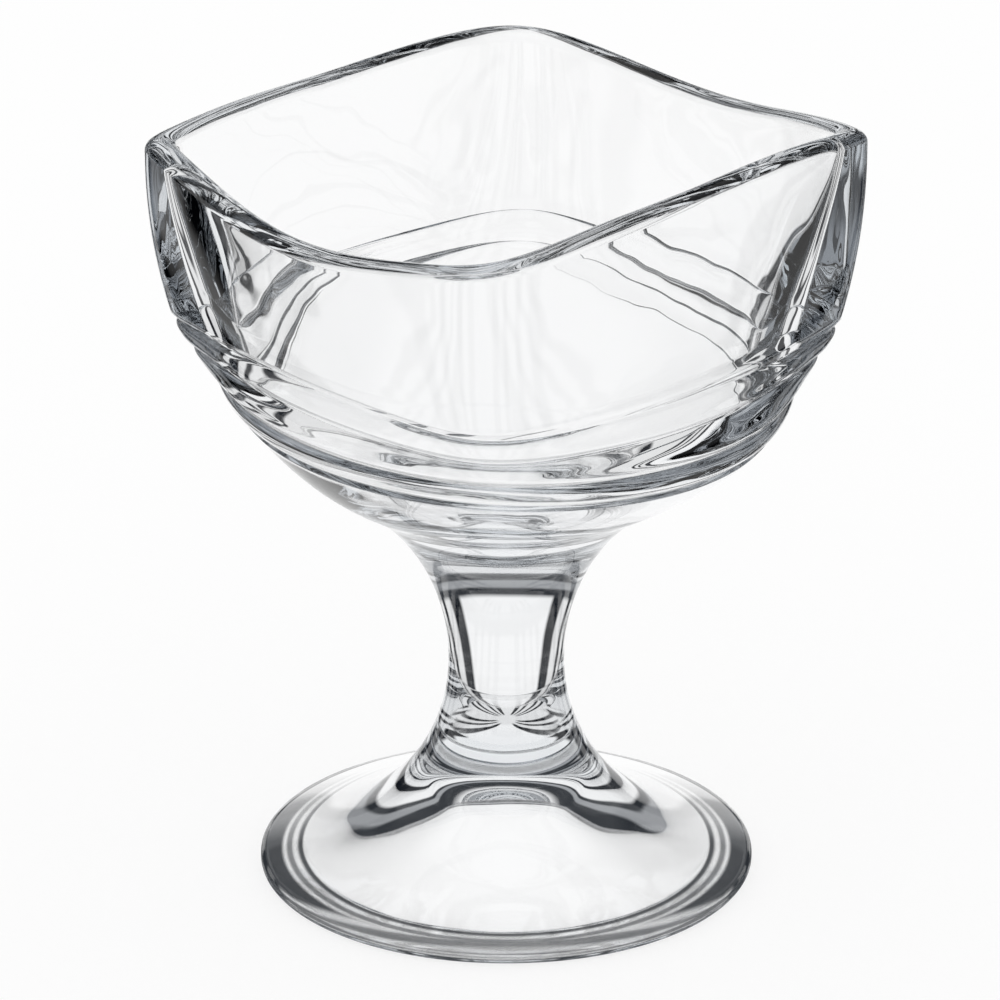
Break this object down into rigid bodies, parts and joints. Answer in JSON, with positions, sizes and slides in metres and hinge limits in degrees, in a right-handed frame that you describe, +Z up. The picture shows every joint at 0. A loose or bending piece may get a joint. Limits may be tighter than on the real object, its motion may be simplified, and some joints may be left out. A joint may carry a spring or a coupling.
{
  "type": "glass dessert dish",
  "caption": "Clear pressed-glass dessert dish: a square bowl with a wavy rounded rim and ridges below its walls, on a waisted round stem and a round foot.",
  "frame": {"origin": "on the table, at the middle of the ring that the foot rests on", "axes": "+Z up along the stem, X across the two sides whose rim rises, Y across the two sides whose rim dips"},
  "size_m": [0.0794, 0.0846, 0.1123],
  "materials": {
    "glass": "clear, fire polished"
  },
  "bodies": {
    "root": {"foot": "glass", "stem": "glass", "bowl": "glass"}
  },
  "joints": []
}
